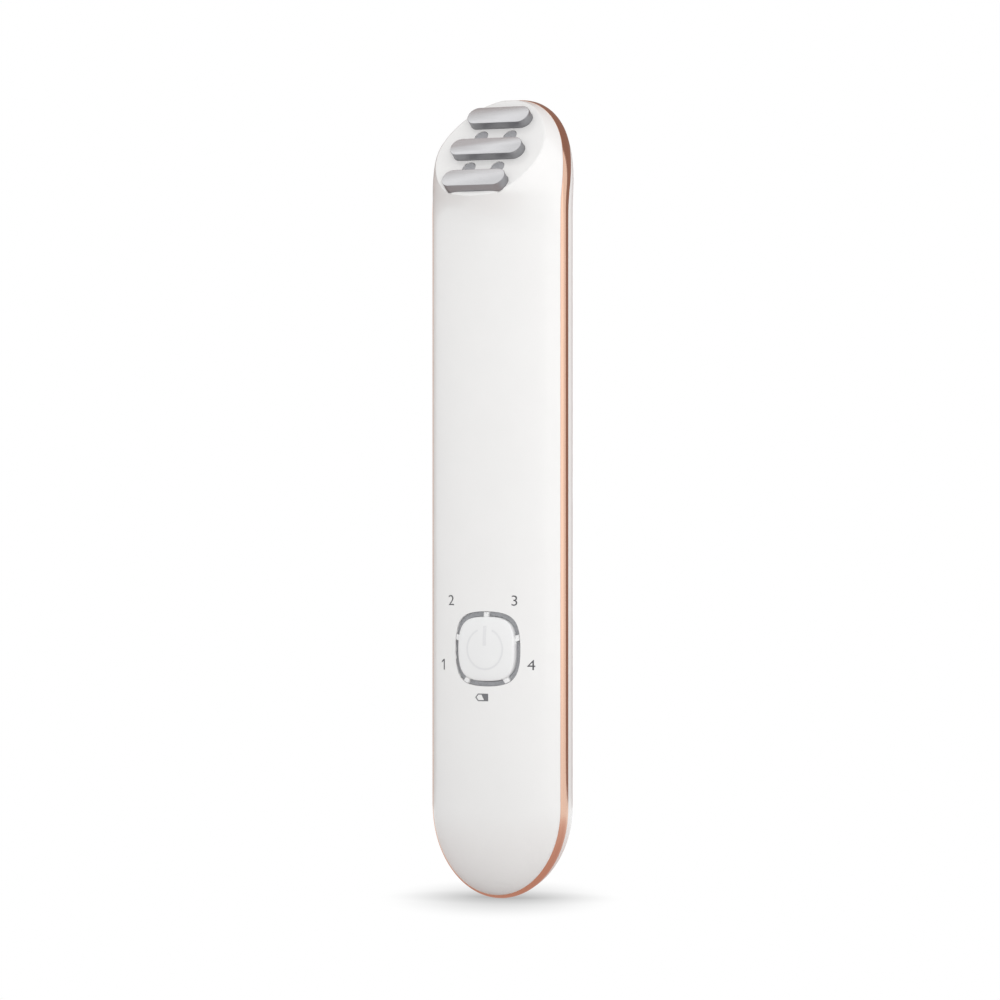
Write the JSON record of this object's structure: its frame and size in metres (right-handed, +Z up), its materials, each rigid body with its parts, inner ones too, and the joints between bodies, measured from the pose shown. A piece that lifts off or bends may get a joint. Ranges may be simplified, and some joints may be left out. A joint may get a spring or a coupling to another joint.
{
  "type": "skin tightening device",
  "caption": "Slim white hand-held skin tightening wand with a rose gold trim band, a bevelled head with metal electrode bars and a power button in a light ring.",
  "frame": {"origin": "middle of the flat land on the wand's back, which it lies down on", "axes": "+Z up the wand from its rounded foot to its head, +Y out of the back, -Y out of the front with the button and the electrodes, +X to the right of someone who looks at the front"},
  "size_m": [0.0326, 0.0242, 0.1702],
  "materials": {
    "white_shell": "smooth glossy white moulding",
    "rose_gold_trim": "polished rose gold plating",
    "electrode_metal": "polished plated metal",
    "smoked_window": "smooth grey light pipe",
    "button_white": "smooth white moulding",
    "ring_diffuser": "translucent grey light guide, unlit",
    "inner_plastic": "dark moulded plastic",
    "seal_silicone": "soft translucent silicone",
    "circuit_board": "green solder mask",
    "lamp_body": "lamp package with clear lens",
    "contact_gold": "gold plated contact",
    "screw_steel": "plated steel",
    "chip_black": "moulded black package",
    "connector_cream": "moulded connector",
    "ferrite": "dark sintered ferrite",
    "copper_winding": "enamelled copper wire",
    "capacitor_sleeve": "shrunk sleeve",
    "cell_pouch": "laminated foil pouch",
    "foam_pad": "closed-cell foam",
    "lead_sleeve": "insulated wire",
    "cable_film": "polyimide film"
  },
  "bodies": {
    "housing": {"front_shell": "white_shell", "rear_shell": "white_shell", "trim_band": "rose_gold_trim", "electrode_upper": "electrode_metal", "electrode_middle": "electrode_metal", "electrode_lower": "electrode_metal", "window_upper_left": "smoked_window", "window_upper_right": "smoked_window", "window_lower_left": "smoked_window", "window_lower_right": "smoked_window", "head_seal": "seal_silicone", "electrode_carrier": "inner_plastic", "head_board": "circuit_board", "treatment_lamps": "lamp_body", "contact_pins": "contact_gold", "temperature_sensor": "chip_black", "head_screws": "screw_steel", "power_switch": "screw_steel", "level_1_light": "ring_diffuser", "level_2_light": "ring_diffuser", "level_3_light": "ring_diffuser", "level_4_light": "ring_diffuser", "battery_light": "ring_diffuser", "light_frame": "inner_plastic", "indicator_lamps": "lamp_body", "main_board": "circuit_board", "board_screws": "screw_steel", "board_chips": "chip_black", "board_connectors": "connector_cream", "transformer_core": "ferrite", "transformer_coil": "copper_winding", "filter_capacitor": "capacitor_sleeve", "battery_cell": "cell_pouch", "battery_protection": "circuit_board", "battery_pad": "foam_pad", "battery_leads": "lead_sleeve", "charge_contacts": "contact_gold", "flex_cable": "cable_film"},
    "button": {"power_button": "button_white", "switch_plunger": "inner_plastic"}
  },
  "joints": [
    {"name": "button_press", "type": "slide", "parent": "housing", "child": "button", "axis": [0, 1, 0], "range_m": [0, 0.0004], "stiffness_N_per_m": 2500}
  ]
}
